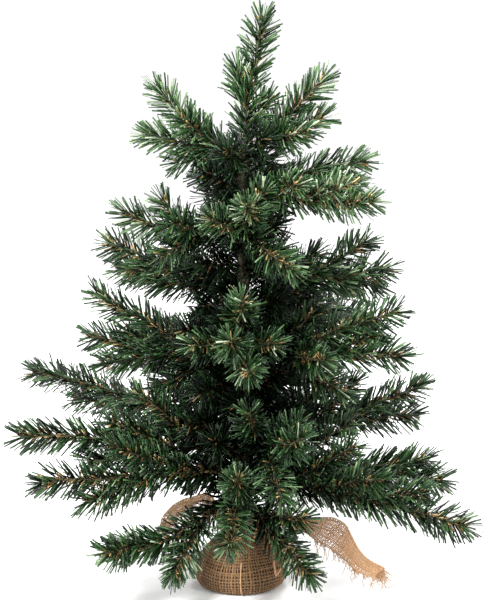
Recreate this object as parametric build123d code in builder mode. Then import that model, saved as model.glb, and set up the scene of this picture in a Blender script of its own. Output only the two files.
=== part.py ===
from build123d import *
import os
from math import radians, sin

# An artificial tabletop tree: twisted-wire branches with PVC film needles, bound to a taped trunk that
# stands in a cast weight, in a burlap sack tied with a burlap strip. Millimetres and degrees.
# Origin: centre of the sack's flat bottom. +Z up, -Y the tree's front. Azimuth 0 is +X, 90 is the back.

# Driving dimensions
sack_radius = 48
sack_height = 73
sack_wall = 1.5
neck_radius = 22
neck_height = 56
rod_radius = 2.5
tail_radius = 1.3
wrap_radius = 6.0
wrap_wall = 0.8
rod_top = 468
wrap_top = 458
root_radius = 7.6        # from the trunk axis to each branch's bend
stem_radius = 1.02        # across the corners of the stem's twelve sides
twig_radius = 0.85
knuckle_radius = 1.3
knuckle_width = 2.6
needles_start = 24       # bare wire at the root of each branch
needle_radius = 6.5      # the dense core of the needles, not their outer reach
leader_height = 470.5
rod_foot = 8
weight_radius = 44
weight_top = 46
tail_drop = 2.4          # from a branch's bend down to the bound end of its wire
tail_length = 7
band_width = 10
band_wall = 1.8
knot_centre = (52, -22, 67)
tail_thickness = 2

# name: (height, azimuth, rise, length, curl, [(where along it, turn up, turn sideways, length), ...])
# rise is the slope at the root and curl is how far the stem turns up along its length.
branches = {
    "branch_01": (450, 175, 28, 104, 24, [(0.14, -24, 0, 80), (0.12, -48, 0, 52), (0.30, 4, 40, 46)]),
    "branch_02": (448, 6, 48, 108, -2, [(0.18, -24, 0, 64), (0.20, -30, -40, 50)]),
    "branch_03": (422, 326, -14, 142, 20, [(0.44, 22, 0, 60), (0.20, 24, -30, 56)]),
    "branch_04": (410, 20, 24, 130, -22, [(0.44, -24, 0, 64), (0.22, -34, -12, 70)]),
    "branch_05": (388, 98, 22, 128, 6, [(0.30, -6, 22, 80), (0.30, -6, -22, 80), (0.20, 26, 0, 60)]),
    "branch_06": (364, 187, 8, 118, 12, [(0.42, 38, 0, 42), (0.24, 16, 42, 60), (0.24, -26, 26, 58)]),
    "branch_07": (370, 273, 22, 100, 4, [(0.20, -50, 28, 88), (0.20, 24, 14, 62), (0.22, -8, -34, 60)]),
    "branch_08": (308, 163, 16, 150, 6, [(0.44, -20, 0, 54), (0.14, 24, 4, 50), (0.12, -17, -8, 122)]),
    "branch_09": (308, 3, 12, 143, -4, [(0.24, 14, 0, 94), (0.52, -16, 0, 58),
                                        (0.14, 28, 0, 60), (0.20, -36, 0, 62)]),
    "branch_10": (258, 264, 10, 118, 4, [(0.20, -21, 11, 90), (0.20, 33, 6, 84),
                                         (0.24, 0, -38, 66), (0.24, 2, 38, 66)]),
    "branch_11": (244, 48, 12, 172, 6, [(0.35, 4, 20, 98), (0.35, -8, -20, 98),
                                        (0.18, 30, 0, 76), (0.20, -34, 0, 70)]),
    "branch_12": (242, 340, 8, 160, -6, [(0.14, 19, 0, 144), (0.44, 14, 0, 70), (0.16, 44, 0, 66),
                                         (0.20, -34, 0, 76), (0.26, 4, -40, 68)]),
    "branch_13": (234, 175, 8, 156, 4, [(0.10, 19, 0, 146), (0.42, -20, 0, 74),
                                        (0.36, 12, 0, 62), (0.16, -38, 0, 64)]),
    "branch_14": (202, 118, 12, 190, 4, [(0.35, -8, 20, 106), (0.35, 6, -20, 106),
                                         (0.16, 32, 0, 84), (0.20, -30, 0, 76)]),
    "branch_15": (148, 14, 12, 194, 8, [(0.46, -17, 0, 94), (0.14, 36, 0, 88), (0.24, 22, 0, 84)]),
    "branch_16": (146, 294, 15, 140, 6, [(0.36, -37, -12, 80), (0.22, 30, -24, 80), (0.30, 16, 8, 70)]),
    "branch_17": (144, 152, 22, 264, -20, [(0.42, -16, 0, 96), (0.14, 26, 0, 120), (0.20, -30, 0, 96)]),
    "branch_18": (140, 199, 14, 230, -8, [(0.35, 18, 0, 62), (0.14, 30, -2, 100), (0.30, -20, 0, 90)]),
    "branch_19": (130, 82, 6, 226, 6, [(0.32, 6, 22, 122), (0.42, -4, -22, 102),
                                       (0.14, 36, 0, 96), (0.30, 16, 0, 100)]),
    "branch_20": (124, 210, 4, 221, 2, [(0.41, -14, 0, 84), (0.22, 18, 0, 96)]),
    "branch_21": (124, 352, 4, 199, -10, [(0.51, 12, 0, 82), (0.16, 34, 0, 84), (0.26, -20, 0, 84)]),
    "branch_22": (112, 329, 2, 242, -8, [(0.41, 12, 0, 100), (0.16, 30, 0, 96), (0.24, 14, -4, 104)]),
    "branch_23": (106, 263, -9, 114, -12, [(0.22, 44, 4, 74)]),
    "branch_24": (106, 218, -38, 176, 52, [(0.30, -13, 23, 76), (0.56, 8, -14, 58)]),
    "branch_25": (94, 306, -35, 120, 18, [(0.20, 40, 2, 70)]),
}
leader = (leader_height, 0, 82, 118, -3, [(0.20, 22, 0, 44), (0.06, -34, 0, 38)])


def root_plane(height, azimuth, radius):
    """The upright plane that a branch bends in: x points outward, y up, and z is the bend's axis."""
    outward = Vector(1, 0, 0).rotate(Axis.Z, azimuth)
    return Plane(origin=outward * radius + Vector(0, 0, height), x_dir=outward, z_dir=outward.cross(Vector(0, 0, 1)))


def stem_line(root, rise, length, curl):
    """A branch's centre line, an arc that starts at the root and turns up by curl."""
    start = root.x_dir.rotate(Axis((0, 0, 0), root.z_dir), rise)
    with BuildLine(root) as line:
        JernArc((0, 0), start, radius=length / radians(abs(curl)), arc_size=curl)
    return line.line


def twig_plane(root, stem, where, turn, sideways):
    """Where a twig leaves its stem; z points along the twig."""
    along = (stem % where).rotate(Axis((0, 0, 0), root.z_dir), turn)
    across = root.z_dir.cross(along)
    return Plane(origin=stem @ where, z_dir=along.rotate(Axis((0, 0, 0), across), sideways), x_dir=root.z_dir)


def core_radius(reach):
    """How far the dense needles stand from the wire, by the distance from the branch's root."""
    return min(needle_radius, 1.0 + 0.045 * reach)


def core_sections(first, last):
    """Distances of the needle core's sections: about 30 mm apart, and a blunt tip past the wire's end."""
    count = max(2, round((last - 12 - first) / 30) + 1)
    return [first + (last - 12 - first) * i / (count - 1) for i in range(count)]


def make_wire(name, root, data):
    """The twisted wire of one branch, the round bend at its root, and the twigs' wires beside the stem."""
    rise, length, curl, twigs = data
    stem = stem_line(root, rise, length, curl)
    with BuildPart() as wire:
        with BuildSketch(Plane(origin=stem @ 0, z_dir=stem % 0)):
            RegularPolygon(stem_radius, 12)
        sweep(path=stem)
        with BuildSketch(root.offset(-knuckle_width / 2)):
            Circle(knuckle_radius)
        extrude(amount=knuckle_width)
        for where, turn, sideways, reach in twigs:
            fork = twig_plane(root, stem, where, turn, sideways)
            angle = radians(fork.z_dir.get_angle(stem % where))
            clear = (stem_radius + twig_radius) / sin(angle) + 0.2
            with BuildSketch(fork.offset(clear)):
                Circle(twig_radius)
            extrude(amount=reach - clear)
    finish_piece(wire, name)


def make_needles(name, root, data):
    """The needles of one branch as one closed brush core around its stem and twigs."""
    rise, length, curl, twigs = data
    stem = stem_line(root, rise, length, curl)
    with BuildPart() as needles:
        for reach in core_sections(needles_start, length):
            with BuildSketch(Plane(origin=stem @ (reach / length), z_dir=stem % (reach / length))):
                Circle(core_radius(reach))
        with BuildSketch(Plane(origin=stem @ 1 + (stem % 1) * 6, z_dir=stem % 1)):
            Circle(2.2)
        loft(ruled=True)
        for where, turn, sideways, reach in twigs:
            fork = twig_plane(root, stem, where, turn, sideways)
            for step in core_sections(2, reach):
                with BuildSketch(fork.offset(step)):
                    Circle(0.9 * core_radius(where * length + step))
            with BuildSketch(fork.offset(reach + 6)):
                Circle(2)
            loft(ruled=True)
    finish_piece(needles, name)


def finish_piece(piece, name):
    piece.part.label = name
    export_step(piece.part, "parts/" + name + ".step")


os.makedirs("parts", exist_ok=True)

# Branches and the leader at the top
for name, (height, azimuth, *data) in branches.items():
    root = root_plane(height, azimuth, root_radius)
    make_wire(name + "_wire", root, data)
    make_needles(name + "_needles", root, data)
leader_root = root_plane(leader[0], leader[1], 0)
make_wire("leader_wire", leader_root, leader[2:])
make_needles("leader_needles", leader_root, leader[2:])

# Trunk: a steel rod, six wires bound along it, a tape wrap, and each branch's wire end bound outside it
with BuildPart() as trunk_rod:
    with BuildSketch(Plane.XY.offset(rod_foot)):
        Circle(rod_radius)
    extrude(amount=rod_top - rod_foot)
finish_piece(trunk_rod, "trunk_rod")

with BuildPart() as trunk_tails:
    with BuildSketch(Plane.XY.offset(weight_top + 2)):
        with PolarLocations(rod_radius + tail_radius + 0.05, 6):
            Circle(tail_radius)
    extrude(amount=wrap_top - weight_top - 6)
    for height, azimuth, *data in branches.values():
        foot = root_plane(height - tail_drop - tail_length, azimuth, wrap_radius + tail_radius + 0.05).origin
        with BuildSketch(Plane(origin=foot, z_dir=(0, 0, 1))):
            Circle(tail_radius)
        extrude(amount=tail_length)
finish_piece(trunk_tails, "trunk_tails")

with BuildPart() as trunk_wrap:
    with BuildSketch(Plane.XY.offset(weight_top + 1)):
        Circle(wrap_radius)
        Circle(wrap_radius - wrap_wall, mode=Mode.SUBTRACT)
    extrude(amount=wrap_top - weight_top - 1)
finish_piece(trunk_wrap, "trunk_wrap")

# Burlap sack: a flat bottom, a round belly and a gathered neck with its mouth open around the trunk
with BuildPart() as burlap_sack:
    with BuildSketch(Plane.XZ):
        with BuildLine():
            bottom = Line((0, 0), (sack_radius - 10, 0))
            edge = RadiusArc(bottom @ 1, (sack_radius, 12), -11)
            belly = Spline(edge @ 1, (sack_radius - 4, 28), (sack_radius - 13, 40), (neck_radius + 3, neck_height - 5.5),
                           (neck_radius, neck_height), tangents=[(0, 1), (0, 1)])
            neck = Line(belly @ 1, (neck_radius, sack_height))
            rim = Line(neck @ 1, (neck_radius - sack_wall, sack_height))
            throat = Line(rim @ 1, (neck_radius - sack_wall, neck_height))
            lining = Spline(throat @ 1, (neck_radius + 1.9, neck_height - 6.5), (sack_radius - 14.2, 39),
                            (sack_radius - 5.4, 27.4), (sack_radius - sack_wall, 12), tangents=[(0, -1), (0, -1)])
            inner_edge = RadiusArc(lining @ 1, (sack_radius - 10, sack_wall), 10.5)
            floor = Line(inner_edge @ 1, (0, sack_wall))
            Line(floor @ 1, bottom @ 0)
        make_face()
    revolve(axis=Axis.Z)
finish_piece(burlap_sack, "burlap_sack")

# Cast weight inside the sack, with the hole that holds the rod
with BuildPart() as base_weight:
    with BuildSketch(Plane.XZ):
        with BuildLine():
            Polyline((0, sack_wall + 0.3), (weight_radius - 8, sack_wall + 0.3), (weight_radius, 12),
                     (weight_radius - 2, 24), (neck_radius, weight_top), (0, weight_top), close=True)
        make_face()
    revolve(axis=Axis.Z)
    with Locations((0, 0, weight_top)):
        Hole(rod_radius + 0.05, depth=weight_top - rod_foot)
finish_piece(base_weight, "base_weight")

# Burlap strip: a band round the neck, a loose strap out to its knot, and two tails
band_plane = Plane(origin=(0, 0, neck_height + 1))
strap_way = Vector(*knot_centre[:2], 0).normalized()
with BuildPart() as sack_tie:
    with BuildSketch(band_plane):
        Circle(neck_radius + 0.4 + band_wall)
        Circle(neck_radius + 0.4, mode=Mode.SUBTRACT)
    extrude(amount=band_width)
    strap_start = strap_way * (neck_radius + 1.4) + Vector(0, 0, neck_height + 6)
    strap = Vector(*knot_centre) - strap_start
    with BuildSketch(Plane(origin=strap_start, z_dir=strap, x_dir=strap_way.rotate(Axis.Z, 90))):
        Rectangle(3, 8)
    extrude(amount=strap.length)
    with BuildSketch(Plane(origin=Vector(*knot_centre) - strap_way * 6, z_dir=strap_way)):
        RectangleRounded(11, 13, 4)
    extrude(amount=12)
    fillet(sack_tie.faces().sort_by(Axis((0, 0, 0), strap_way))[-1].edges(), 3)
finish_piece(sack_tie, "sack_tie")


def make_tail(name, face, upper, lower):
    """A hanging tail of the strip, given as its upper and lower edges in a plane that faces the front."""
    with BuildPart() as tail:
        with BuildSketch(face):
            with BuildLine():
                top_edge = Spline(*upper)
                low_edge = Spline(*lower)
                Line(top_edge @ 0, low_edge @ 0)
                Line(top_edge @ 1, low_edge @ 1)
            make_face()
        extrude(amount=tail_thickness)
    finish_piece(tail, name)


right_face = Plane(origin=(0, -24, 0), x_dir=(1, -0.05, 0), z_dir=(-0.05, -1, 0))
make_tail("tie_tail_right", right_face,
          [(59, 70), (77, 78), (103, 74), (116, 48), (143, 24)],
          [(60, 65), (75, 53), (97, 39), (118, 21), (137, 16)])
left_face = Plane(origin=(0, -10, 0), x_dir=(1, 0.12, 0), z_dir=(0.12, -1, 0))
make_tail("tie_tail_left", left_face,
          [(-21.8, 68), (-33, 100), (-58, 92), (-86, 72)],
          [(-21.8, 61), (-40, 86), (-56, 78), (-77, 62)])
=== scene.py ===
"""Looks of the artificial tabletop tree: needles, twisted stems, taped trunk, burlap sack and its tie."""

import math

import bpy
import numpy as np
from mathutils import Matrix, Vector


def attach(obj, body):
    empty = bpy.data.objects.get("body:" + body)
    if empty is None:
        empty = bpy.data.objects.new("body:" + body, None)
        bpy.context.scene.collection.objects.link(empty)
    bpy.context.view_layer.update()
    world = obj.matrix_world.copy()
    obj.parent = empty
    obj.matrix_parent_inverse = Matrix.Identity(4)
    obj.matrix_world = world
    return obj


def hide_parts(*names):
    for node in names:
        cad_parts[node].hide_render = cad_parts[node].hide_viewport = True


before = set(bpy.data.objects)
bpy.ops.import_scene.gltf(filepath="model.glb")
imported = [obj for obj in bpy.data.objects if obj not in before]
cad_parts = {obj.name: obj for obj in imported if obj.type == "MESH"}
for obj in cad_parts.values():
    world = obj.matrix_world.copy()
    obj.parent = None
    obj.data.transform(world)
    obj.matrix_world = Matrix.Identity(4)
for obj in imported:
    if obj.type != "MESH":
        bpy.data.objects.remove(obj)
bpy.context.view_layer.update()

MM = 0.001
root_radius = 7.6 * MM
side_branch_top = 465       # only the leader starts above this height, in mm, and it stands on the rod
# Painted light: brushes are paler the higher they stand, scaled to this height
top_whorl = 460             # brushes are palest at this height, in mm
open_front_below = 110      # branches rooted below this height, in mm, hang free in front of the sack
golden_turn = 2.39996       # radians between one sprig and the next round the trunk

# Branches as in the CAD part, in millimetres and degrees:
# (height, azimuth, rise, length, curl, [(where along it, turn up, turn sideways, length), ...])
branches = {
    "branch_01": (450, 175, 28, 104, 24, [(0.14, -24, 0, 80), (0.12, -48, 0, 52), (0.30, 4, 40, 46)]),
    "branch_02": (448, 6, 48, 108, -2, [(0.18, -24, 0, 64), (0.20, -30, -40, 50)]),
    "branch_03": (422, 326, -14, 142, 20, [(0.44, 22, 0, 60), (0.20, 24, -30, 56)]),
    "branch_04": (410, 20, 24, 130, -22, [(0.44, -24, 0, 64), (0.22, -34, -12, 70)]),
    "branch_05": (388, 98, 22, 128, 6, [(0.30, -6, 22, 80), (0.30, -6, -22, 80), (0.20, 26, 0, 60)]),
    "branch_06": (364, 187, 8, 118, 12, [(0.42, 38, 0, 42), (0.24, 16, 42, 60), (0.24, -26, 26, 58)]),
    "branch_07": (370, 273, 22, 100, 4, [(0.20, -50, 28, 88), (0.20, 24, 14, 62), (0.22, -8, -34, 60)]),
    "branch_08": (308, 163, 16, 150, 6, [(0.44, -20, 0, 54), (0.14, 24, 4, 50), (0.12, -17, -8, 122)]),
    "branch_09": (308, 3, 12, 143, -4, [(0.24, 14, 0, 94), (0.52, -16, 0, 58),
                                        (0.14, 28, 0, 60), (0.20, -36, 0, 62)]),
    "branch_10": (258, 264, 10, 118, 4, [(0.20, -21, 11, 90), (0.20, 33, 6, 84),
                                         (0.24, 0, -38, 66), (0.24, 2, 38, 66)]),
    "branch_11": (244, 48, 12, 172, 6, [(0.35, 4, 20, 98), (0.35, -8, -20, 98),
                                        (0.18, 30, 0, 76), (0.20, -34, 0, 70)]),
    "branch_12": (242, 340, 8, 160, -6, [(0.14, 19, 0, 144), (0.44, 14, 0, 70), (0.16, 44, 0, 66),
                                         (0.20, -34, 0, 76), (0.26, 4, -40, 68)]),
    "branch_13": (234, 175, 8, 156, 4, [(0.10, 19, 0, 146), (0.42, -20, 0, 74),
                                        (0.36, 12, 0, 62), (0.16, -38, 0, 64)]),
    "branch_14": (202, 118, 12, 190, 4, [(0.35, -8, 20, 106), (0.35, 6, -20, 106),
                                         (0.16, 32, 0, 84), (0.20, -30, 0, 76)]),
    "branch_15": (148, 14, 12, 194, 8, [(0.46, -17, 0, 94), (0.14, 36, 0, 88), (0.24, 22, 0, 84)]),
    "branch_16": (146, 294, 15, 140, 6, [(0.36, -37, -12, 80), (0.22, 30, -24, 80), (0.30, 16, 8, 70)]),
    "branch_17": (144, 152, 22, 264, -20, [(0.42, -16, 0, 96), (0.14, 26, 0, 120), (0.20, -30, 0, 96)]),
    "branch_18": (140, 199, 14, 230, -8, [(0.35, 18, 0, 62), (0.14, 30, -2, 100), (0.30, -20, 0, 90)]),
    "branch_19": (130, 82, 6, 226, 6, [(0.32, 6, 22, 122), (0.42, -4, -22, 102),
                                       (0.14, 36, 0, 96), (0.30, 16, 0, 100)]),
    "branch_20": (124, 210, 4, 221, 2, [(0.41, -14, 0, 84), (0.22, 18, 0, 96)]),
    "branch_21": (124, 352, 4, 199, -10, [(0.51, 12, 0, 82), (0.16, 34, 0, 84), (0.26, -20, 0, 84)]),
    "branch_22": (112, 329, 2, 242, -8, [(0.41, 12, 0, 100), (0.16, 30, 0, 96), (0.24, 14, -4, 104)]),
    "branch_23": (106, 263, -9, 114, -12, [(0.22, 44, 4, 74)]),
    "branch_24": (106, 218, -38, 176, 52, [(0.30, -13, 23, 76), (0.56, 8, -14, 58)]),
    "branch_25": (94, 306, -35, 120, 18, [(0.20, 40, 2, 70)]),
    "leader": (470.5, 0, 82, 118, -3, [(0.20, 22, 0, 44), (0.06, -34, 0, 38)]),
}


# ---------------------------------------------------------------- camera, light and floor


def add_camera():
    """The eye stands in front of the tree, 1.6 m from its middle and 10 degrees above it."""
    distance, lift, middle = 1.6, math.radians(10), 0.302
    camera = bpy.data.objects.new("camera", bpy.data.cameras.new("camera"))
    bpy.context.scene.collection.objects.link(camera)
    camera.data.lens = 93.8
    camera.data.sensor_width = 36
    camera.location = (0, -distance * math.cos(lift), middle + distance * math.sin(lift))
    camera.rotation_euler = (math.radians(90) - lift, 0, 0)
    camera.data.clip_end = 20
    bpy.context.scene.camera = camera


def add_light(name, place, size, power):
    light = bpy.data.objects.new(name, bpy.data.lights.new(name, "AREA"))
    bpy.context.scene.collection.objects.link(light)
    light.data.shape = "DISK"
    light.data.size = size
    light.data.energy = power
    light.location = place
    light.rotation_euler = (Vector((0, 0, 0.25)) - Vector(place)).to_track_quat("-Z", "Y").to_euler()


def add_studio():
    world = bpy.data.worlds.new("studio")
    world.use_nodes = True
    world.node_tree.nodes["Background"].inputs["Color"].default_value = (1, 1, 1, 1)
    world.node_tree.nodes["Background"].inputs["Strength"].default_value = 1.02
    bpy.context.scene.world = world
    bpy.context.scene.view_settings.view_transform = "Standard"
    add_light("key", (-1.0, -1.5, 2.0), 0.7, 95)
    add_light("fill", (1.5, -1.3, 1.1), 1.2, 26)
    add_light("back", (0.4, 1.6, 1.9), 1.0, 34)
    bpy.ops.mesh.primitive_circle_add(vertices=96, radius=60, fill_type="NGON")
    floor = bpy.context.object
    floor.name = "floor"
    paper = new_material("floor_paper", (0.88, 0.88, 0.88), 0.9)
    place = add_node(paper, "ShaderNodeTexCoord").outputs["Object"]
    reach = add_node(paper, "ShaderNodeVectorMath", operation="LENGTH")
    link(paper, place, reach.inputs[0])
    fade = add_node(paper, "ShaderNodeMapRange")
    fade.inputs["From Min"].default_value, fade.inputs["From Max"].default_value = 0.25, 1.6
    fade.inputs["To Max"].default_value = 0.16
    link(paper, reach.outputs["Value"], fade.inputs["Value"])
    shader_of(paper).inputs["Emission Color"].default_value = (1, 1, 1, 1)
    link(paper, fade.outputs["Result"], shader_of(paper).inputs["Emission Strength"])
    floor.data.materials.append(paper)


# ---------------------------------------------------------------- materials


def new_material(name, colour, roughness):
    material = bpy.data.materials.new(name)
    material.use_nodes = True
    shader = material.node_tree.nodes["Principled BSDF"]
    shader.inputs["Base Color"].default_value = (*colour, 1)
    shader.inputs["Roughness"].default_value = roughness
    return material


def add_node(material, kind, **settings):
    node = material.node_tree.nodes.new(kind)
    for key, value in settings.items():
        if key in node.inputs:
            node.inputs[key].default_value = value
        else:
            setattr(node, key, value)
    return node


def link(material, source, target):
    material.node_tree.links.new(source, target)


def shader_of(material):
    return material.node_tree.nodes["Principled BSDF"]


def ramp(material, source, stops):
    """A colour ramp from (place, colour) stops, fed by source."""
    node = add_node(material, "ShaderNodeValToRGB")
    elements = node.color_ramp.elements
    while len(elements) < len(stops):
        elements.new(0.5)
    for element, (place, colour) in zip(elements, stops):
        element.position = place
        element.color = (*colour, 1)
    link(material, source, node.inputs["Fac"])
    return node.outputs["Color"]


def attribute(material, name):
    return add_node(material, "ShaderNodeAttribute", attribute_name=name).outputs["Fac"]


def noise(material, scale, detail=2.0):
    """Noise in object space, in cycles per metre."""
    place = add_node(material, "ShaderNodeTexCoord").outputs["Object"]
    node = add_node(material, "ShaderNodeTexNoise", Scale=scale, Detail=detail)
    link(material, place, node.inputs["Vector"])
    return node.outputs["Fac"]


def multiplied(material, first, second):
    """Two colour sockets multiplied."""
    node = add_node(material, "ShaderNodeMix", data_type="RGBA", blend_type="MULTIPLY")
    node.inputs[0].default_value = 1.0
    link(material, first, node.inputs[6])
    link(material, second, node.inputs[7])
    return node.outputs[2]


def bump(material, height, strength, distance):
    node = add_node(material, "ShaderNodeBump", Strength=strength, Distance=distance)
    link(material, height, node.inputs["Height"])
    link(material, node.outputs["Normal"], shader_of(material).inputs["Normal"])


def needle_material(name, stops, roughness):
    """Glossy PVC film: each strip has its own tint, with painted shade making it darker at the wire and painted
    light making it paler at its cut tip, and the strips in the middle of the tree, near the trunk, have their
    specular reflection turned off, as painted shade."""
    material = new_material(name, stops[1][1], roughness)
    tint = ramp(material, attribute(material, "tint"), stops)
    # Painted shade towards the wire and painted light at the cut tip, along each strip
    shade = ramp(material, attribute(material, "along"),
                 [(0.0, (0.4, 0.4, 0.4)), (0.35, (0.95, 0.95, 0.95)), (1.0, (1.1, 1.1, 1.1))])
    link(material, multiplied(material, tint, shade), shader_of(material).inputs["Base Color"])
    # Painted shade: no specular reflection on the strips near the trunk
    specular_off_in_shade = add_node(material, "ShaderNodeMapRange")
    specular_off_in_shade.inputs["To Min"].default_value, specular_off_in_shade.inputs["To Max"].default_value = 0.42, 0.0
    link(material, attribute(material, "painted_interior_shade"), specular_off_in_shade.inputs["Value"])
    link(material, specular_off_in_shade.outputs["Result"], shader_of(material).inputs["Specular IOR Level"])
    return material


def jute_material(name, pale, dark):
    """Jute thread: tint from thread to thread, fibres along it, fuzzy and matte."""
    material = new_material(name, pale, 0.92)
    thread = ramp(material, attribute(material, "tint"), [(0.0, dark), (1.0, pale)])
    blotch = ramp(material, noise(material, 700, 4), [(0.3, (0.72, 0.69, 0.66)), (0.7, (1.12, 1.10, 1.07))])
    link(material, multiplied(material, thread, blotch), shader_of(material).inputs["Base Color"])
    bump(material, noise(material, 3200, 3), 0.5, 0.0004)
    shader_of(material).inputs["Specular IOR Level"].default_value = 0.2
    shader_of(material).inputs["Sheen Weight"].default_value = 0.15
    return material


def wire_material():
    """Dark lacquered steel wire with worn, browner ridges."""
    material = new_material("stem_wire", (0.10, 0.085, 0.045), 0.45)
    worn = ramp(material, noise(material, 260, 3),
                [(0.35, (0.035, 0.05, 0.028)), (0.6, (0.12, 0.09, 0.045)), (0.8, (0.26, 0.19, 0.10))])
    link(material, worn, shader_of(material).inputs["Base Color"])
    bump(material, noise(material, 2400), 0.2, 0.0002)
    shader_of(material).inputs["Metallic"].default_value = 0.35
    return material


def tape_material():
    """Crinkled paper-cloth tape, brown with green."""
    material = new_material("trunk_tape", (0.07, 0.06, 0.035), 0.8)
    colour = ramp(material, noise(material, 180, 4),
                  [(0.3, (0.028, 0.032, 0.018)), (0.55, (0.075, 0.06, 0.032)), (0.8, (0.13, 0.10, 0.055))])
    link(material, colour, shader_of(material).inputs["Base Color"])
    bump(material, noise(material, 1500, 3), 0.5, 0.0005)
    return material


def plain_material(name, dark, pale, roughness, scale, metallic=0.0):
    """A hidden or small CAD piece: mottled, with a fine grain."""
    material = new_material(name, pale, roughness)
    link(material, ramp(material, noise(material, scale, 4), [(0.3, dark), (0.7, pale)]),
         shader_of(material).inputs["Base Color"])
    bump(material, noise(material, scale * 8), 0.25, 0.0003)
    shader_of(material).inputs["Metallic"].default_value = metallic
    return material


# ---------------------------------------------------------------- mesh building


def unit(vectors):
    return vectors / np.linalg.norm(vectors, axis=-1, keepdims=True)


def strands(name, centre, across, up, outline, columns=1, materials=(), slots=None, attributes=None):
    """Closed strips or threads in one mesh. centre, across and up are (strand, ring, 3), and outline is
    (corner, 2), or (strand, ring, corner, 2) where it changes. Each strand has its own cell of the UV map."""
    count, rings = centre.shape[:2]
    corners = outline.shape[-2]
    points = centre[:, :, None] + across[:, :, None] * outline[..., 0:1] + up[:, :, None] * outline[..., 1:2]
    first = (np.arange(count) * rings * corners)[:, None, None]
    ring = (np.arange(rings - 1) * corners)[None, :, None]
    corner = np.arange(corners)[None, None]
    after = (corner + 1) % corners
    quads = np.stack([first + ring + corner, first + ring + after,
                      first + ring + corners + after, first + ring + corners + corner], -1).reshape(-1, 4)
    start_caps = first[:, 0] + np.arange(corners)[::-1]
    end_caps = first[:, 0] + (rings - 1) * corners + np.arange(corners)
    caps = np.stack([start_caps, end_caps], 1).reshape(-1, corners)

    mesh = bpy.data.meshes.new(name)
    mesh.vertices.add(count * rings * corners)
    mesh.vertices.foreach_set("co", points.astype(np.float32).ravel())
    loops = np.concatenate([quads.ravel(), caps.ravel()])
    mesh.loops.add(len(loops))
    mesh.loops.foreach_set("vertex_index", loops.astype(np.int32))
    starts = np.concatenate([np.arange(len(quads)) * 4, len(quads) * 4 + np.arange(len(caps)) * corners])
    mesh.polygons.add(len(starts))
    mesh.polygons.foreach_set("loop_start", starts.astype(np.int32))
    mesh.update(calc_edges=True)

    # UV cells, rows of strands side by side
    rows = math.ceil(count / columns)
    cell = np.stack([np.arange(count) % columns, np.arange(count) // columns], -1)
    step = np.stack(np.broadcast_arrays(corner, ring // corners), -1)
    sides = np.array([(0, 0), (1, 0), (1, 1), (0, 1)])
    inside = (step[:, :, :, None] + sides) / np.array([corners, rings - 1])
    quad_uv = (cell[:, None, None, None] + 0.06 + 0.88 * inside) / np.array([columns, rows])
    cap_place = np.stack([np.arange(corners) / corners, np.zeros(corners)], -1)
    cap_uv = (cell[:, None, None] + 0.06 + 0.88 * cap_place[None, None]) / np.array([columns, rows])
    cap_uv = np.broadcast_to(cap_uv, (count, 2, corners, 2))
    layer = mesh.uv_layers.new(name="OFBake")
    layer.data.foreach_set("uv", np.concatenate([quad_uv.ravel(), cap_uv.ravel()]).astype(np.float32))

    for key, values in (attributes or {}).items():
        data = mesh.attributes.new(key, "FLOAT", "POINT")
        spread = np.broadcast_to(np.asarray(values).reshape(count, -1, 1), (count, rings, corners))
        data.data.foreach_set("value", spread.astype(np.float32).ravel())
    for material in materials:
        mesh.materials.append(material)
    if slots is not None:
        per_face = np.concatenate([np.repeat(slots, (rings - 1) * corners), np.repeat(slots, 2)])
        mesh.polygons.foreach_set("material_index", per_face.astype(np.int32))
    piece = bpy.data.objects.new(name, mesh)
    bpy.context.scene.collection.objects.link(piece)
    return piece


def shade_smooth(piece):
    piece.data.polygons.foreach_set("use_smooth", np.ones(len(piece.data.polygons), bool))
    return piece


def round_outline(radius, corners=6):
    turn = np.arange(corners) * 2 * math.pi / corners
    return np.stack([radius * np.cos(turn), radius * np.sin(turn)], -1)


def frames_along(points, up_hint):
    """Unit tangents with two square directions for each point of one or more lines."""
    tangent = unit(np.gradient(points, axis=-2))
    across = unit(np.cross(tangent, np.broadcast_to(up_hint, points.shape)))
    return tangent, across, np.cross(across, tangent)


def smooth_line(points, count):
    """A Catmull-Rom curve through points, sampled evenly in its parameter."""
    points = np.asarray(points, float)
    padded = np.concatenate([[2 * points[0] - points[1]], points, [2 * points[-1] - points[-2]]])
    place = np.linspace(0, len(points) - 1, count)
    index = np.minimum(place.astype(int), len(points) - 2)
    t = (place - index)[:, None]
    a, b, c, d = (padded[index + k] for k in range(4))
    return 0.5 * (2 * b + (c - a) * t + (2 * a - 5 * b + 4 * c - d) * t**2 + (3 * b - a - 3 * c + d) * t**3)


# ---------------------------------------------------------------- branches


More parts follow.
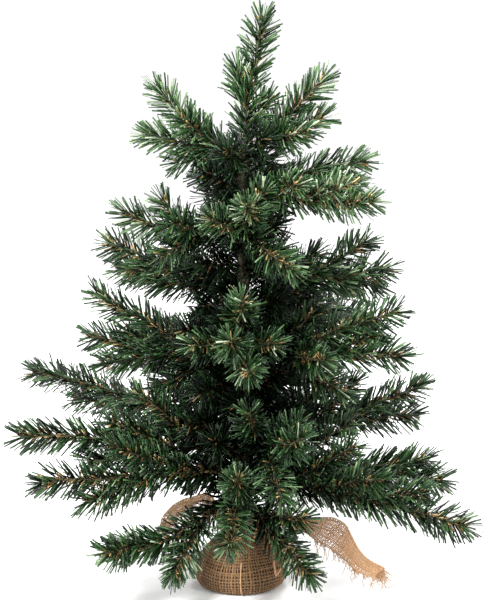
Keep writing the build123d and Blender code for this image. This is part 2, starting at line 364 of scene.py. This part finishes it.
def stem_points(rng, height, azimuth, rise, length, curl, twigs):
    """The centre lines of a branch's stem and twigs: (points, distance from the root) for each, in metres."""
    radius = root_radius if height < side_branch_top else 0
    turn = math.radians(azimuth)
    out = np.array([math.cos(turn), math.sin(turn), 0])
    up = np.array([0, 0, 1.0])
    side = np.cross(up, out)
    bend = math.radians(curl) / (length * MM)
    start = math.radians(rise)

    def at(s):
        s = np.asarray(s, float)
        flat = radius + (np.sin(start + bend * s) - math.sin(start)) / bend
        high = height * MM - (np.cos(start + bend * s) - math.cos(start)) / bend
        return np.multiply.outer(flat, out) + np.multiply.outer(high, up)

    def wander(points, s):
        """Hand-bent wire is never quite even: it strays up to about 2 mm from its curve."""
        stray = np.zeros_like(points)
        for direction in (up, side):
            wave = rng.uniform(0.05, 0.085)
            size = rng.uniform(0.0006, 0.0016)
            stray += np.multiply.outer(size * np.sin(2 * math.pi * s / wave), direction)
        fade = np.clip(s / 0.05, 0, 1)[:, None]
        return points + stray * fade

    distance = np.linspace(0, length * MM, max(12, int(length / 3)))
    lines = [(wander(at(distance), distance), distance)]
    for where, lift, aside, reach in twigs:
        angle = start + bend * where * length * MM
        tangent = math.cos(angle) * out + math.sin(angle) * up
        normal = -math.sin(angle) * out + math.cos(angle) * up
        lift, aside = math.radians(lift), math.radians(aside)
        way = math.cos(aside) * (math.cos(lift) * tangent + math.sin(lift) * normal) + math.sin(aside) * side
        step = np.linspace(0, reach * MM, max(10, int(reach / 3)))
        fork = np.array([np.interp(where * length * MM, distance, lines[0][0][:, k]) for k in range(3)])
        droop = np.multiply.outer(rng.uniform(-0.25, 0.35) * step**2 / 0.1 * 0.25, normal)
        twig = wander(fork + np.multiply.outer(step, way) + droop, step)
        lines.append((twig, where * length * MM + step))
    return lines


def twisted_wire(name, lines, material):
    """Two wires twisted round each other, along each line, as one outline with two lobes that turns."""
    pitch, wire = 5.0 * MM, 0.62 * MM
    lobes = np.array([(0, 0.35), (0.9, 0.95), (1.9, 0.6), (1.9, -0.6), (0.9, -0.95), (0, -0.35),
                      (-0.9, -0.95), (-1.9, -0.6), (-1.9, 0.6), (-0.9, 0.95)]) * wire
    pieces = []
    for points, distance in lines:
        length = distance[-1] - distance[0]
        s = np.linspace(0, length, max(8, int(length / (0.9 * MM))))
        line = np.stack([np.interp(s, distance - distance[0], points[:, k]) for k in range(3)], -1)
        upright = abs(line[-1, 2] - line[0, 2]) > 0.8 * length
        _, across, up = frames_along(line, (0.0, 1.0, 0.0) if upright else (0.0, 0.0, 1.0))
        turn = (2 * math.pi * s / pitch)[:, None]
        pieces.append(strands(name, line[None], (across * np.cos(turn) + up * np.sin(turn))[None],
                              (up * np.cos(turn) - across * np.sin(turn))[None], lobes,
                              materials=(material,)))
    return join(name, pieces)


def join(name, pieces):
    """Several meshes as one object."""
    bpy.ops.object.select_all(action="DESELECT")
    for piece in pieces:
        piece.select_set(True)
    bpy.context.view_layer.objects.active = pieces[0]
    if len(pieces) > 1:
        bpy.ops.object.join()
    pieces[0].name = name
    return pieces[0]


def needle_places(rng, lines, per_metre, first):
    """Random places along the lines: point, tangent, distance to the line's end, distance from the root."""
    found = []
    for number, (points, distance) in enumerate(lines):
        start = first if number == 0 else distance[0] + 0.004
        length = distance[-1] - start
        count = int(length * per_metre)
        s = start + (np.arange(count) + rng.uniform(0, 1, count)) / count * length
        at = np.stack([np.interp(s, distance, points[:, k]) for k in range(3)], -1)
        tangent = np.stack([np.interp(s, distance, np.gradient(points[:, k])) for k in range(3)], -1)
        found.append((at, unit(tangent), distance[-1] - s, s))
    return [np.concatenate(part) for part in zip(*found)]


def needle_brush(name, rng, lines, materials, painted_light_and_shade, first, per_metre, tan_share, lean_mean=53,
                 length_mean=0.0238, short_root=True):
    """The film strips of one branch: long green ones, and short tan ones close to the wire. first is where
    they start along the stem, tan_share the number of tan strips to each green one, and lean_mean in degrees."""
    green = needle_places(rng, lines, per_metre, first)
    tan = needle_places(rng, lines, tan_share * per_metre, first + 0.002)
    at, tangent, to_tip, reach = (np.concatenate(pair) for pair in zip(green, tan))
    count, greens = len(at), len(green[0])
    is_tan = np.arange(count) >= greens
    hint = np.where(np.abs(tangent[:, 2:3]) > 0.9, [[0.0, 1.0, 0.0]], [[0.0, 0.0, 1.0]])
    side = unit(np.cross(tangent, hint))
    high = np.cross(side, tangent)
    turn = rng.uniform(0, 2 * math.pi, count)[:, None]
    radial = side * np.cos(turn) + high * np.sin(turn)

    # Strips lean towards the branch's tip, and close up into a tuft there
    tuft = 0.020
    near_tip = np.clip(1 - to_tip / tuft, 0, 1)
    sway = 5 * np.sin(reach * rng.uniform(50, 90) + rng.uniform(0, 6)) + 4 * np.sin(turn[:, 0] + 190 * reach)
    lean = np.radians(rng.normal(lean_mean, 6, count) + sway - 24 * near_tip)
    lean = np.where(is_tan, np.radians(rng.normal(46, 14, count)), lean)
    way = tangent * np.cos(lean)[:, None] + radial * np.sin(lean)[:, None]
    length = rng.normal(length_mean, 0.0014, count) * (1 - 0.22 * near_tip)
    if short_root:
        length = length * np.clip(0.6 + reach / 0.05, 0.6, 1)
    length = np.where(is_tan, rng.uniform(0.0065, 0.0120, count), length)
    rings = 4
    t = np.linspace(0, 1, rings)
    forward = rng.normal(0.06, 0.05, count)[:, None, None]
    sideways = rng.normal(0, 0.045, count)[:, None, None]
    around = np.cross(tangent, radial)
    sag = np.array([0, 0, 0.02])
    bend = forward * tangent[:, None] + sideways * around[:, None] - sag
    curve = (t[None, :, None] * way[:, None] + t[None, :, None] ** 2 * bend) * length[:, None, None]
    centre = at[:, None] + radial[:, None] * 0.0004 + curve
    under_table = np.abs(centre[..., 2]) * (centre[..., 2] < 0)
    centre[..., 2] = np.maximum(centre[..., 2], 0.0012 + 0.25 * under_table)

    # The film's flat side faces round the stem, with each strip rolled its own way and a little twisted
    along = unit(np.gradient(centre, axis=1))
    flat = unit(np.cross(np.broadcast_to(around[:, None], along.shape), along))
    face = np.cross(along, flat)
    roll = (rng.normal(0, 0.6, count)[:, None] + rng.normal(0, 0.25, count)[:, None] * t)[..., None]
    across = flat * np.cos(roll) + face * np.sin(roll)
    up = face * np.cos(roll) - flat * np.sin(roll)
    width = np.where(is_tan, rng.uniform(0.0012, 0.0018, count), rng.uniform(0.00135, 0.0020, count))
    taper = np.array([0.75, 1.0, 1.0, 0.92])
    outline = np.array([(-0.5, -0.06), (0.5, -0.06), (0.0, 0.11)])
    outline = outline[None, None] * (width[:, None] * taper)[..., None, None]

    # Painted shade: strips near the trunk are darker and lose their specular reflection, less so at the top of
    # the tree and on the low branches in front
    painted_interior_shade = np.clip(1.25 - np.linalg.norm(at[:, :2], axis=1) / 0.075, 0, 1)
    painted_interior_shade = painted_interior_shade * (0.3 + 0.7 * np.clip((0.45 - at[:, 2]) / 0.2, 0, 1))
    open_front = np.clip((-at[:, 1] - 0.012) / 0.03, 0, 1) * np.clip((0.17 - at[:, 2]) / 0.04, 0, 1)
    painted_interior_shade = painted_interior_shade * (1 - 0.85 * open_front)
    # Each strip's tint is a random tone, plus the branch's painted light and shade, less the painted shade near
    # the trunk
    tint = np.clip(rng.beta(1.3, 1.9, count) + painted_light_and_shade - 0.68 * painted_interior_shade, 0, 1)
    return strands(name, centre, across, up, outline, columns=math.ceil(math.sqrt(count)),
                   materials=materials, slots=is_tan.astype(int),
                   attributes={"tint": tint, "along": np.broadcast_to(t, (count, rings)), "painted_interior_shade": painted_interior_shade})


def place(piece, body, slot, *nodes):
    """A finished piece: what it rides on, and the CAD nodes that it stands for, which are hidden. slot, its
    finish, is not used.
    """
    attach(piece, body)
    if nodes:
        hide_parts(*nodes)


def add_branches():
    # The palest stop, pale silver-green, is a painted sheen highlight on the strips with the highest tint
    greens = needle_material("needles_green", [(0.0, (0.0015, 0.0045, 0.0013)), (0.25, (0.008, 0.025, 0.007)),
                                               (0.5, (0.024, 0.070, 0.020)), (0.75, (0.070, 0.150, 0.049)),
                                               (0.92, (0.18, 0.28, 0.135)), (1.0, (0.42, 0.51, 0.35))], 0.30)
    tans = needle_material("needles_tan", [(0.0, (0.10, 0.060, 0.022)), (0.5, (0.30, 0.19, 0.070)),
                                           (1.0, (0.62, 0.44, 0.19))], 0.5)
    wire = wire_material()
    for number, (name, data) in enumerate(branches.items()):
        rng = np.random.default_rng(1000 + number)
        lines = stem_points(rng, *data)
        stem = shade_smooth(twisted_wire(name + "_stem", lines, wire))
        root_height, azimuth = data[:2]
        share = root_height / top_whorl
        leader, low_front = name == "leader", root_height < open_front_below
        # Painted light and shade: brushes are paler the higher they stand and where they face the front, and the
        # low ones hanging free in front a little paler still
        painted_light_and_shade = 0.38 * share - 0.19 + 0.5 * max(0, share - 0.8)
        painted_light_and_shade += 0.10 * max(0, -math.sin(math.radians(azimuth))) + (0.06 if low_front else 0)
        brush = needle_brush(name + "_brush", rng, lines, (greens, tans), painted_light_and_shade,
                             first=0.002 if leader else 0.012, short_root=not leader,
                             per_metre=3000 if low_front else 2400, tan_share=0.18 + 0.06 * (number * 7 % 5))
        place(stem, name, "stem_wire", name + "_wire")
        place(brush, name, "needles", name + "_needles")

    # Strips and short sprigs wound in with the trunk's tape fill the middle of the tree
    for part, seed, low, high, reach in (("low", 2697, 0.076, 0.270, 0.062),
                                         ("high", 4635, 0.270, 0.464, 0.040)):
        rng = np.random.default_rng(seed)
        height = np.linspace(low, high, 40)
        lines = [(np.stack([0 * height, 0 * height, height], -1), height)]
        for number, foot in enumerate(np.arange(max(low, 0.098), high, 0.0060)):
            turn, rise = golden_turn * number, math.radians(rng.uniform(-4, 34))
            step = np.linspace(0, reach * rng.uniform(0.75, 1.1), 14)
            out = np.array([math.cos(turn) * math.cos(rise), math.sin(turn) * math.cos(rise), math.sin(rise)])
            start = np.array([0.006 * math.cos(turn), 0.006 * math.sin(turn), foot])
            lines.append((start + np.multiply.outer(step, out), 0.03 + step))
        # Painted shade: the strips in the middle of the tree are all a little darker
        brush = needle_brush("trunk_brush_" + part, rng, lines, (greens, tans), -0.08, first=low,
                             per_metre=2700, lean_mean=64, length_mean=0.026, tan_share=0.15)
        place(brush, "base", "needles")
    add_trunk(wire)


def add_trunk(wire):
    """Tape wound up the trunk in overlapping turns, and each branch's wire bound in under its root."""
    low, high, pitch = 0.0472, 0.4578, 0.0075
    turns = (high - low) / pitch
    t = np.linspace(0, 1, int(turns * 20))
    angle = 2 * math.pi * turns * t
    wobble = 0.0006 * np.sin(0.37 * angle) + 0.0004 * np.sin(1.83 * angle + 1)
    out = np.stack([np.cos(angle), np.sin(angle), 0 * angle], -1)
    centre = out * 0.0058 + np.stack([0 * t, 0 * t, low + (high - low) * t + wobble], -1)
    tilt = np.broadcast_to(unit(np.array([0.0, 0.0, 1.0])), out.shape)
    edge = np.clip(np.minimum(t, 1 - t) * turns * 2, 0.05, 1)
    outline = np.array([(0.0007, -0.0052), (0.0004, 0.0052), (0.0, 0.0052), (0.0002, -0.0052)])
    narrowing = np.stack([np.ones_like(edge), edge], -1)[None, :, None]
    outline = np.broadcast_to(outline, (1, len(t), 4, 2)) * narrowing
    tape = strands("trunk_tape", centre[None], out[None], tilt[None], outline, materials=(tape_material(),))
    place(tape, "base", "trunk_tape", "trunk_wrap")

    tails = []
    for height, azimuth, *_ in list(branches.values())[:-1]:
        turn = math.radians(azimuth)
        out = np.array([math.cos(turn), math.sin(turn), 0])
        t = np.linspace(0, 1, 12)
        rise = (height - 9.6 + 9.0 * t) * MM
        points = out * 0.00725 + np.stack([0 * t, 0 * t, rise], -1)
        tails.append((points, rise - rise[0]))
    place(shade_smooth(twisted_wire("branch_ends", tails, wire)), "base", "stem_wire", "trunk_tails")


# ---------------------------------------------------------------- burlap


def woven(name, rng, cloth, along, across, width, height, material, stray, drop=0.0):
    """Plain-woven cloth as real threads. cloth(u, v) gives points for u along it and v across it, 0 to 1.
    along threads run the whole of u, and across threads the whole of v, each over and under the others.
    stray is how far threads wander, as a share of their spacing, and drop the share that is missing."""
    samples = 2     # points on each thread between one crossing and the next

    def lines(count, crossings, lengthwise):
        number = np.arange(count)[:, None]
        t = np.linspace(0, 1, crossings * samples + 1)[None]
        wander = sum(rng.normal(0, stray, (count, 1)) * np.sin(2 * math.pi * (k * t + rng.random((count, 1))))
                     for k in (1.3, 3.1, 7.3))
        lane = np.clip((number + 0.5 + wander) / count, 0, 1)
        t = np.broadcast_to(t, lane.shape)
        u, v = (t, lane) if lengthwise else (lane, t)
        e = 1e-4
        along_u = cloth(u + e, v) - cloth(u - e, v)
        along_v = cloth(u, v + e) - cloth(u, v - e)
        normal = unit(np.cross(along_u, along_v))
        wave = np.cos(math.pi * (t * crossings - 0.5 + number)) * (1 if lengthwise else -1)
        centre = cloth(u, v) + normal * wave[..., None] * height * 0.42
        tangent = unit(np.gradient(centre, axis=1))
        side = unit(np.cross(tangent, normal))
        return centre, side, np.cross(side, tangent)

    pieces = []
    for count, crossings, lengthwise in ((along, across, True), (across, along, False)):
        centre, side, up = lines(count, crossings, lengthwise)
        keep = rng.random(count) >= drop
        centre, side, up = centre[keep], side[keep], up[keep]
        kept = len(centre)
        thick = 1 + rng.normal(0, 0.14, (kept, 1)) + rng.normal(0, 0.09, centre.shape[:2])
        outline = round_outline(0.5, 6) * np.array([width, height])
        outline = outline[None, None] * np.clip(thick, 0.6, 1.5)[..., None, None]
        tint = np.clip(rng.normal(0.5, 0.24, kept), 0, 1)
        pieces.append(strands(name, centre, side, up, outline, columns=math.ceil(math.sqrt(kept)),
                              materials=(material,), attributes={"tint": tint}))
    return shade_smooth(join(name, pieces))


def loose_threads(name, rng, starts, ways, lengths, thickness, material, curl=0.35, fall=0.3):
    """Frayed threads that start at starts, set off along ways, and wander and fall."""
    count, rings = len(starts), 9
    t = np.linspace(0, 1, rings)[None, :, None]
    swing = rng.normal(0, curl, (count, 1, 3))
    swirl = rng.normal(0, curl * 0.35, (count, 1, 3))
    path = ways[:, None] * t + swing * t**2 + swirl * np.sin(2 * math.pi * t) - np.array([0, 0, fall]) * t**2
    centre = starts[:, None] + path * lengths[:, None, None]
    centre[..., 2] = np.maximum(centre[..., 2], 0.0008)
    _, side, up = frames_along(centre, (0.3, 0.2, 1.0))
    outline = round_outline(0.5, 5) * thickness
    shrink = (1 - 0.45 * t[..., 0]) * (1 + rng.normal(0, 0.12, (count, 1)))
    outline = outline[None, None] * shrink[..., None, None]
    return shade_smooth(strands(name, centre, side, up, outline, columns=math.ceil(math.sqrt(count)),
                                materials=(material,), attributes={"tint": rng.random(count)}))


def smooth_step(value, low, high):
    t = np.clip((value - low) / (high - low), 0, 1)
    return t * t * (3 - 2 * t)


# The sack's outline from its bottom edge up to its mouth: (radius, height) in millimetres
sack_profile = smooth_line([(37.5, 0.9), (43.8, 2.6), (47.8, 9.5), (48.2, 17), (44.4, 28), (35.6, 40),
                            (26.6, 50), (22.3, 56), (20.9, 61), (20.8, 66), (22.0, 70), (25.5, 74)], 150) * MM


def sack_side(u, v):
    """The sack's side from its bottom edge, v = 0, to its mouth, v = 1, as a surface gathered at the neck."""
    u, v = np.broadcast_arrays(u, v)
    steps = np.linalg.norm(np.diff(sack_profile, axis=0), axis=1)
    place_along = np.concatenate([[0], np.cumsum(steps)]) / steps.sum()
    turn = math.pi / 2 + 2 * math.pi * u
    turn = turn + 0.05 * np.sin(math.pi * v) * np.sin(2 * turn + 0.6)
    radius = np.interp(v, place_along, sack_profile[:, 0])
    height = np.interp(v, place_along, sack_profile[:, 1])
    gather = smooth_step(v, 0.45, 0.68)
    flare = smooth_step(v, 0.86, 1.0)
    belly = smooth_step(v, 0.08, 0.3) * (1 - gather)
    radius = radius + gather * 0.0013 * np.cos(15 * turn + 0.8 * np.sin(3 * turn))
    radius = radius + flare * 0.0024 * np.cos(7 * turn + 1) + belly * 0.0008 * np.sin(3 * turn + 0.5 + 4 * v)
    height = height + flare * 0.0016 * np.sin(5 * turn) + belly * 0.0006 * np.sin(4 * turn)
    shift = -0.0030 * (1 - gather)
    return np.stack([radius * np.cos(turn) + shift, radius * np.sin(turn), height], -1)


def sack_bottom(u, v):
    """The round bottom, as a square of cloth with its corners drawn in."""
    a, b = 2 * u - 1, 2 * v - 1
    x = a * np.sqrt(np.clip(1 - b * b / 2, 0, 1))
    y = b * np.sqrt(np.clip(1 - a * a / 2, 0, 1))
    x, y = np.broadcast_arrays(x, y)
    return np.stack([0.0385 * x - 0.003, 0.0385 * y, np.full(x.shape, 0.0009)], -1)


def band_cloth(u, v):
    """The strip's turn round the neck, bunched into folds."""
    u, v = np.broadcast_arrays(u, v)
    turn = math.pi / 2 + 2 * math.pi * u
    fold = np.sin(2 * math.pi * (2.6 * v + 0.12 * np.sin(3 * turn)))
    radius = 0.0243 + 0.0012 * fold + 0.0005 * np.sin(5 * turn)
    height = 0.0622 + 0.0100 * (v - 0.5) + 0.0010 * np.sin(2 * turn + 1)
    return np.stack([radius * np.cos(turn), radius * np.sin(turn), height], -1)


def ribbon(upper, lower, depth):
    """A strip of cloth between two edges, each given by (x, z) points in millimetres; depth(u, v) gives y."""
    upper, lower = smooth_line(upper, 60) * MM, smooth_line(lower, 60) * MM
    steps = np.linspace(0, 1, 60)

    def cloth(u, v):
        u, v = np.broadcast_arrays(u, v)
        edges = [[np.interp(u, steps, edge[:, k]) for k in (0, 1)] for edge in (lower, upper)]
        x, z = (edges[0][k] * (1 - v) + edges[1][k] * v for k in (0, 1))
        return np.stack([x, depth(u, v), z], -1)
    return cloth


def add_burlap():
    rng = np.random.default_rng(77)
    jute = jute_material("burlap", (0.275, 0.160, 0.076), (0.160, 0.088, 0.038))
    pale = jute_material("tie_burlap", (0.56, 0.350, 0.200), (0.33, 0.185, 0.092))
    # Painted light: the left tail is the same jute as the tie, in a lighter copy for its lit look
    painted_light_jute = jute_material("tail_burlap_painted_light", (0.84, 0.57, 0.36), (0.56, 0.35, 0.20))
    rust = jute_material("strap_jute", (0.52, 0.24, 0.10), (0.30, 0.11, 0.045))

    side = woven("sack_cloth", rng, sack_side, 27, 88, 0.00155, 0.00095, jute, stray=0.07)
    place(side, "base", "burlap", "burlap_sack")
    bottom = woven("sack_bottom_cloth", rng, sack_bottom, 22, 22, 0.00150, 0.00085, jute, stray=0.06)
    place(bottom, "base", "burlap")

    # Threads that have come out of the weave: a frayed mouth, one long thread down the front, and a pinch
    mouth = sack_side((np.arange(88) + 0.5) / 88, np.full(88, 0.995))
    outward = unit(mouth * np.array([1, 1, 0])) * 0.5 + np.array([0, 0, 0.8])
    fray = loose_threads("sack_fray", rng, mouth, outward, rng.uniform(0.002, 0.0065, 88), 0.0011, jute)
    place(fray, "base", "burlap")
    fronts = []
    for points in ([(-2.2, -41.6, 35), (-2.8, -46.6, 27), (-3.2, -49.6, 18), (-2.8, -49.6, 10),
                    (-2.0, -46.4, 3.2), (-1.4, -40.6, 0.9)],
                   [(31.0, -31.6, 33.5), (31.8, -34.6, 26), (33.4, -36.0, 19.5), (36.6, -33.6, 23)],
                   [(31.4, -31.2, 34), (32.8, -34.2, 25.6), (34.8, -35.2, 20.4), (38.4, -31.6, 25)]):
        line = smooth_line(points, 36) * MM
        _, across, up = frames_along(line, (1.0, 0.0, 0.0))
        size = 0.00075 * (1 + 0.15 * np.sin(np.linspace(0, 21, 36)))
        fronts.append(strands("thread", line[None], across[None], up[None],
                              round_outline(1.0, 6) * size[None, :, None, None], materials=(pale,),
                              attributes={"tint": np.array([0.75])}))
    thread = shade_smooth(join("sack_loose_threads", fronts))
    place(thread, "base", "burlap")

    # The tie: a bunched band, a twisted strap with its knot, and two frayed tails
    band = woven("tie_band", rng, band_cloth, 9, 60, 0.0012, 0.0008, pale, stray=0.12)
    strap_way = unit(np.array([52.0, -22.0, 0.0]))
    strap_side = np.array([-strap_way[1], strap_way[0], 0])
    strap_line = smooth_line([(20.5, -8.6, 62), (27, -12, 68), (36, -16, 74), (45, -19.4, 73), (52, -22, 67),
                              (60, -25, 67)], 60) * MM
    count = 16
    t = np.linspace(0, 1, 60)
    number = np.arange(count)[:, None]
    spin = 2 * math.pi * (number / count + 1.1 * t[None])
    ring = np.where(number % 3 == 0, 0.0012, 0.0028) * (1 + 0.25 * np.sin(9 * t + number))
    _, across, up = frames_along(strap_line, (0.0, 0.0, 1.0))
    sideways = np.cos(spin)[..., None] * across + np.sin(spin)[..., None] * up
    centre = strap_line[None] + ring[..., None] * sideways
    strap = strands("strap", centre, np.broadcast_to(across, centre.shape), np.broadcast_to(up, centre.shape),
                    round_outline(0.0008, 6), columns=4, materials=(rust,),
                    attributes={"tint": rng.random(count)})
    wraps = []
    for radius, lean, middle, amount in ((0.0060, 0.25, 0.0, 1.25), (0.0052, -0.5, 0.002, 1.0)):
        t = np.linspace(0, 1, 70)
        spin = 2 * math.pi * amount * t + 1.2
        for lane in np.linspace(-0.0036, 0.0036, 7):
            swell = radius * (1 + 0.05 * np.sin(5 * spin + lane * 900)) - 40 * lane**2
            offset = (middle + lane + lean * 0.006 * np.sin(spin))[:, None] * strap_way
            line = np.array([0.052, -0.022, 0.067]) + offset + swell[:, None] * (
                np.cos(spin)[:, None] * strap_side + np.sin(spin)[:, None] * np.array([0, 0, 1]))
            _, across, up = frames_along(line, strap_way)
            wraps.append(strands("wrap", line[None], across[None], up[None], round_outline(0.00085, 6),
                                 materials=(pale,), attributes={"tint": rng.random(1)}))
    knot = shade_smooth(join("tie_knot", [strap] + wraps))
    tuft_starts = np.array([0.047, -0.021, 0.070]) + rng.normal(0, 0.0018, (46, 3))
    tuft_ways = unit(np.array([-0.75, -0.1, 0.55]) + rng.normal(0, 0.28, (46, 3)))
    tuft = loose_threads("tie_tuft", rng, tuft_starts, tuft_ways, rng.uniform(0.008, 0.019, 46), 0.0010, rust,
                         curl=0.22, fall=0.15)
    place(band, "base", "tie_burlap", "sack_tie")
    place(knot, "base", "tie_burlap")
    place(tuft, "base", "tie_burlap")

    def right_depth(u, v):
        long_wave = 0.0030 * np.sin(2 * math.pi * (0.8 * u + 0.35 * v)) * np.clip(u * 5, 0, 1)
        folds = 0.0016 * np.sin(2 * math.pi * (1.9 * v + 0.7 * u)) * np.clip(1.2 - u, 0, 1)
        return -0.0262 - 0.003 * u + long_wave + folds

    def left_depth(u, v):
        return -0.0145 - 0.009 * u + 0.0022 * np.sin(2 * math.pi * (1.1 * u + 0.5 * v))

    right = ribbon([(57, 70), (70, 78), (90, 79.5), (105, 73), (112, 60), (118, 48), (129, 35), (147, 24)],
                   [(57, 66), (66, 60), (76, 52), (93, 42), (106, 32), (118, 22), (136, 15)], right_depth)
    left = ribbon([(-21.5, 69), (-26, 86), (-35, 103), (-49, 100), (-64, 95), (-75, 88), (-84, 78), (-87, 68)],
                  [(-21.5, 61), (-31, 76), (-42, 91), (-53, 90), (-62, 84), (-68, 77), (-76, 62)], left_depth)
    # The left tail takes the lighter copy of the tie's jute, as painted light
    for node, cloth, along, across, flat, jute in (("tie_tail_right", right, 20, 70, (0.034, 0.118), pale),
                                                   ("tie_tail_left", left, 11, 56, (0.018, 0.100), painted_light_jute)):
        tail = woven(node + "_cloth", rng, cloth, along, across, 0.00110, 0.0007, jute, stray=0.13, drop=0.03)
        place(tail, "base", "tie_burlap", node)

        # Threads have frayed out of the lower edge and the end
        many = int(across * 1.1)
        u = rng.uniform(0.22, 1.0, many)
        edge = cloth(u, np.full(many, 0.02))
        step = cloth(np.minimum(u + 0.02, 1), np.full(many, 0.02)) - cloth(u - 0.02, np.full(many, 0.02))
        down = unit(np.array([0, 0, -1.0]) + 0.35 * unit(step) + rng.normal(0, 0.40, (many, 3)))
        ends = 3 * along
        v = rng.uniform(0.0, 1.0, ends)
        tip = cloth(np.full(ends, 0.99), v)
        onward = unit(cloth(np.full(ends, 1.0), v) - cloth(np.full(ends, 0.95), v))
        onward = onward + rng.normal(0, 0.22, (ends, 3))
        lengths = np.concatenate([0.002 + 0.013 * rng.random(many) ** 2.2,
                                  0.003 + 0.012 * rng.random(ends) ** 1.5])
        frayed = loose_threads(node + "_fray", rng, np.concatenate([edge, tip]),
                               np.concatenate([down, onward]), lengths, 0.0008, jute, curl=0.45, fall=0.35)
        place(frayed, "base", "tie_burlap")


def finish_cad_pieces():
    """Materials for the CAD pieces that stay: the weight behind the weave and the rod inside the trunk."""
    weight = plain_material("cast_weight", (0.034, 0.016, 0.007), (0.062, 0.030, 0.013), 0.85, 220)
    rod = plain_material("rod_steel", (0.25, 0.24, 0.22), (0.42, 0.41, 0.39), 0.35, 300, metallic=0.9)
    for name, material in (("base_weight", weight), ("trunk_rod", rod)):
        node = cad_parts[name]
        node.data.materials.clear()
        node.data.materials.append(material)


add_studio()
add_camera()
add_branches()
add_burlap()
finish_cad_pieces()
